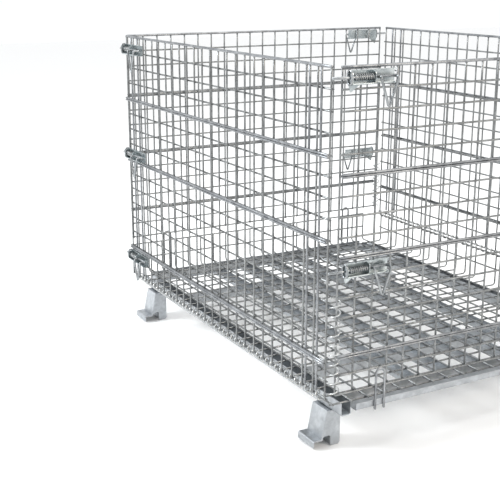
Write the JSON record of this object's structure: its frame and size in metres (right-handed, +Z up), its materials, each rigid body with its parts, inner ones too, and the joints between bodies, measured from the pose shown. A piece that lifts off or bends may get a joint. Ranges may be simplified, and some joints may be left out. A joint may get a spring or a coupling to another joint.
{
  "type": "foldable wire mesh container",
  "caption": "Foldable galvanised wire mesh stacking container with coil-hinged walls, sliding spring-bolt latches, channel base and stacking feet.",
  "frame": {"origin": "bottom centre: on the ground under the middle of the floor", "axes": "+Z up, +X along the long side towards the right short wall, -Y out of the front long wall"},
  "size_m": [1.327, 1.099, 0.949],
  "materials": {
    "galvanised_sheet": "satin",
    "latch_sheet": "satin",
    "spring_steel": "satin",
    "bolt_steel": "satin",
    "heavy_wire": "satin",
    "mesh_wire": "satin",
    "coil_wire": "satin"
  },
  "bodies": {
    "base": {"back_hinge_coil": "coil_wire", "base_beams": "galvanised_sheet", "cross_members": "galvanised_sheet", "end_channels": "galvanised_sheet", "floor_mesh": "mesh_wire", "floor_upstand": "mesh_wire", "foot_back_left": "galvanised_sheet", "foot_back_right": "galvanised_sheet", "foot_front_left": "galvanised_sheet", "foot_front_right": "galvanised_sheet", "front_hinge_coil": "coil_wire", "shoe_back_left": "galvanised_sheet", "shoe_back_right": "galvanised_sheet", "shoe_front_left": "galvanised_sheet", "shoe_front_right": "galvanised_sheet", "stirrups": "mesh_wire"},
    "front_wall": {"front_latch_eyes": "mesh_wire", "front_latch_housings": "latch_sheet", "front_spring_low": "spring_steel", "front_spring_mid": "spring_steel", "front_spring_top": "spring_steel", "front_wall_mesh": "mesh_wire", "front_wall_posts": "heavy_wire", "front_wall_rails": "heavy_wire", "front_wall_rim": "heavy_wire"},
    "front_bolt_low": {"front_bolt_low": "bolt_steel"},
    "front_bolt_mid": {"front_bolt_mid": "bolt_steel"},
    "front_bolt_top": {"front_bolt_top": "bolt_steel"},
    "back_wall": {"back_latch_eyes": "mesh_wire", "back_latch_housings": "latch_sheet", "back_spring_low": "spring_steel", "back_spring_mid": "spring_steel", "back_spring_top": "spring_steel", "back_wall_mesh": "mesh_wire", "back_wall_posts": "heavy_wire", "back_wall_rails": "heavy_wire", "back_wall_rim": "heavy_wire"},
    "back_bolt_low": {"back_bolt_low": "bolt_steel"},
    "back_bolt_mid": {"back_bolt_mid": "bolt_steel"},
    "back_bolt_top": {"back_bolt_top": "bolt_steel"},
    "right_wall": {"right_corner_coil": "coil_wire", "right_latch_eyes": "mesh_wire", "right_latch_housings": "latch_sheet", "right_spring_mid": "spring_steel", "right_spring_top": "spring_steel", "right_wall_mesh": "mesh_wire", "right_wall_rails": "heavy_wire", "right_wall_rim": "heavy_wire"},
    "right_bolt_mid": {"right_bolt_mid": "bolt_steel"},
    "right_bolt_top": {"right_bolt_top": "bolt_steel"},
    "left_wall": {"left_corner_coil": "coil_wire", "left_latch_eyes": "mesh_wire", "left_latch_housings": "latch_sheet", "left_spring_mid": "spring_steel", "left_spring_top": "spring_steel", "left_wall_mesh": "mesh_wire", "left_wall_rails": "heavy_wire", "left_wall_rim": "heavy_wire"},
    "left_bolt_mid": {"left_bolt_mid": "bolt_steel"},
    "left_bolt_top": {"left_bolt_top": "bolt_steel"}
  },
  "joints": [
    {"name": "front_wall_fold", "type": "hinge", "parent": "base", "child": "front_wall", "pos_m": [0, -0.5065, 0.145], "axis": [-1, 0, 0], "range_deg": [0, 90]},
    {"name": "back_wall_fold", "type": "hinge", "parent": "base", "child": "back_wall", "pos_m": [0, 0.5065, 0.245], "axis": [1, 0, 0], "range_deg": [0, 90]},
    {"name": "right_wall_swing", "type": "hinge", "parent": "base", "child": "right_wall", "pos_m": [0.622, -0.502, 0.145], "axis": [0, 0, 1], "range_deg": [0, 90]},
    {"name": "left_wall_swing", "type": "hinge", "parent": "base", "child": "left_wall", "pos_m": [-0.622, 0.502, 0.245], "axis": [0, 0, 1], "range_deg": [0, 90]},
    {"name": "front_top_bolt_slide", "type": "slide", "parent": "front_wall", "child": "front_bolt_top", "axis": [1, 0, 0], "range_m": [0, 0.025], "stiffness_N_per_m": 400, "springref_m": -0.02, "deforming": ["front_spring_top"]},
    {"name": "front_mid_bolt_slide", "type": "slide", "parent": "front_wall", "child": "front_bolt_mid", "axis": [1, 0, 0], "range_m": [0, 0.025], "stiffness_N_per_m": 400, "springref_m": -0.02, "deforming": ["front_spring_mid"]},
    {"name": "front_low_bolt_slide", "type": "slide", "parent": "front_wall", "child": "front_bolt_low", "axis": [1, 0, 0], "range_m": [0, 0.025], "stiffness_N_per_m": 400, "springref_m": -0.02, "deforming": ["front_spring_low"]},
    {"name": "back_top_bolt_slide", "type": "slide", "parent": "back_wall", "child": "back_bolt_top", "axis": [-1, 0, 0], "range_m": [0, 0.025], "stiffness_N_per_m": 400, "springref_m": -0.02, "deforming": ["back_spring_top"]},
    {"name": "back_mid_bolt_slide", "type": "slide", "parent": "back_wall", "child": "back_bolt_mid", "axis": [-1, 0, 0], "range_m": [0, 0.025], "stiffness_N_per_m": 400, "springref_m": -0.02, "deforming": ["back_spring_mid"]},
    {"name": "back_low_bolt_slide", "type": "slide", "parent": "back_wall", "child": "back_bolt_low", "axis": [-1, 0, 0], "range_m": [0, 0.025], "stiffness_N_per_m": 400, "springref_m": -0.02, "deforming": ["back_spring_low"]},
    {"name": "right_top_bolt_slide", "type": "slide", "parent": "right_wall", "child": "right_bolt_top", "axis": [0, 1, 0], "range_m": [0, 0.025], "stiffness_N_per_m": 400, "springref_m": -0.02, "deforming": ["right_spring_top"]},
    {"name": "right_mid_bolt_slide", "type": "slide", "parent": "right_wall", "child": "right_bolt_mid", "axis": [0, 1, 0], "range_m": [0, 0.025], "stiffness_N_per_m": 400, "springref_m": -0.02, "deforming": ["right_spring_mid"]},
    {"name": "left_top_bolt_slide", "type": "slide", "parent": "left_wall", "child": "left_bolt_top", "axis": [0, -1, 0], "range_m": [0, 0.025], "stiffness_N_per_m": 400, "springref_m": -0.02, "deforming": ["left_spring_top"]},
    {"name": "left_mid_bolt_slide", "type": "slide", "parent": "left_wall", "child": "left_bolt_mid", "axis": [0, -1, 0], "range_m": [0, 0.025], "stiffness_N_per_m": 400, "springref_m": -0.02, "deforming": ["left_spring_mid"]}
  ]
}
